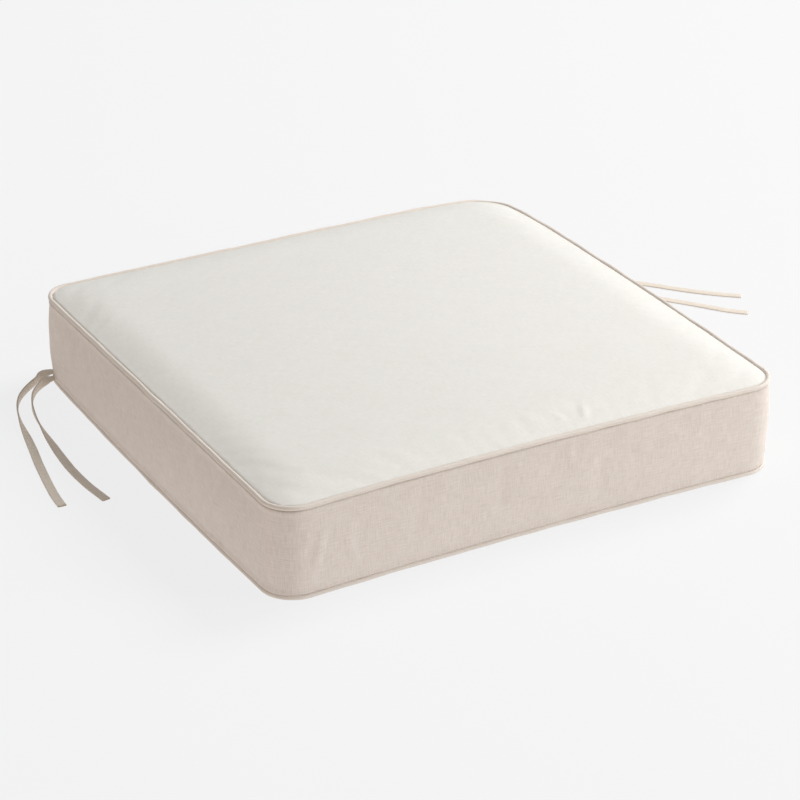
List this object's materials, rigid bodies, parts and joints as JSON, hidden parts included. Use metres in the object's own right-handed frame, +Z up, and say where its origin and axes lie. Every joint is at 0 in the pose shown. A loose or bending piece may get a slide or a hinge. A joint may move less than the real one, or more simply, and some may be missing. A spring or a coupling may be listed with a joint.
{
  "type": "seat cushion",
  "caption": "Square box-edge seat cushion with a crowned top, piped edges, foam filling, a back zip with a running slider, and narrow fabric ties at the back corners.",
  "frame": {"origin": "on the ground under the middle of the cushion, ties left out", "axes": "+Z up from the resting face, +Y towards the zipped back edge with the ties, -Y towards the front edge"},
  "size_m": [0.7909, 0.508, 0.099],
  "materials": {
    "cover_cloth": "matte",
    "piping_cloth": "matte",
    "tie_cloth": "matte",
    "thread": "matte",
    "foam": "matte",
    "fibre": "matte",
    "piping_cord": "matte",
    "zip_tape": "matte",
    "zip_teeth": "satin",
    "zip_metal": "satin"
  },
  "bodies": {
    "cushion": {"foam_core": "foam", "fibre_wrap": "fibre", "top_panel": "cover_cloth", "bottom_panel": "cover_cloth", "boxing_band": "cover_cloth", "zip_boxing_upper": "cover_cloth", "zip_boxing_lower": "cover_cloth", "zip_tape_upper": "zip_tape", "zip_tape_lower": "zip_tape", "zip_teeth_upper": "zip_teeth", "zip_teeth_lower": "zip_teeth", "zip_stop_closed": "zip_metal", "zip_stop_open": "zip_metal", "top_piping_cover": "piping_cloth", "top_piping_cord": "piping_cord", "bottom_piping_cover": "piping_cloth", "bottom_piping_cord": "piping_cord", "zip_topstitch_upper": "thread", "zip_topstitch_lower": "thread", "tie_tacks_left": "thread", "tie_tacks_right": "thread", "tie_left_a": "tie_cloth", "tie_left_b": "tie_cloth", "tie_right_a": "tie_cloth", "tie_right_b": "tie_cloth"},
    "slider": {"zip_slider": "zip_metal"},
    "pull_tab": {"zip_pull_tab": "zip_metal"}
  },
  "joints": [
    {"name": "zip_travel", "type": "slide", "parent": "cushion", "child": "slider", "axis": [1, 0, 0], "range_m": [0, 0.3916]},
    {"name": "pull_tab_swing", "type": "hinge", "parent": "slider", "child": "pull_tab", "pos_m": [-0.1958, 0.25075, 0.0445], "axis": [0, 0, 1], "range_deg": [0, 180]}
  ]
}
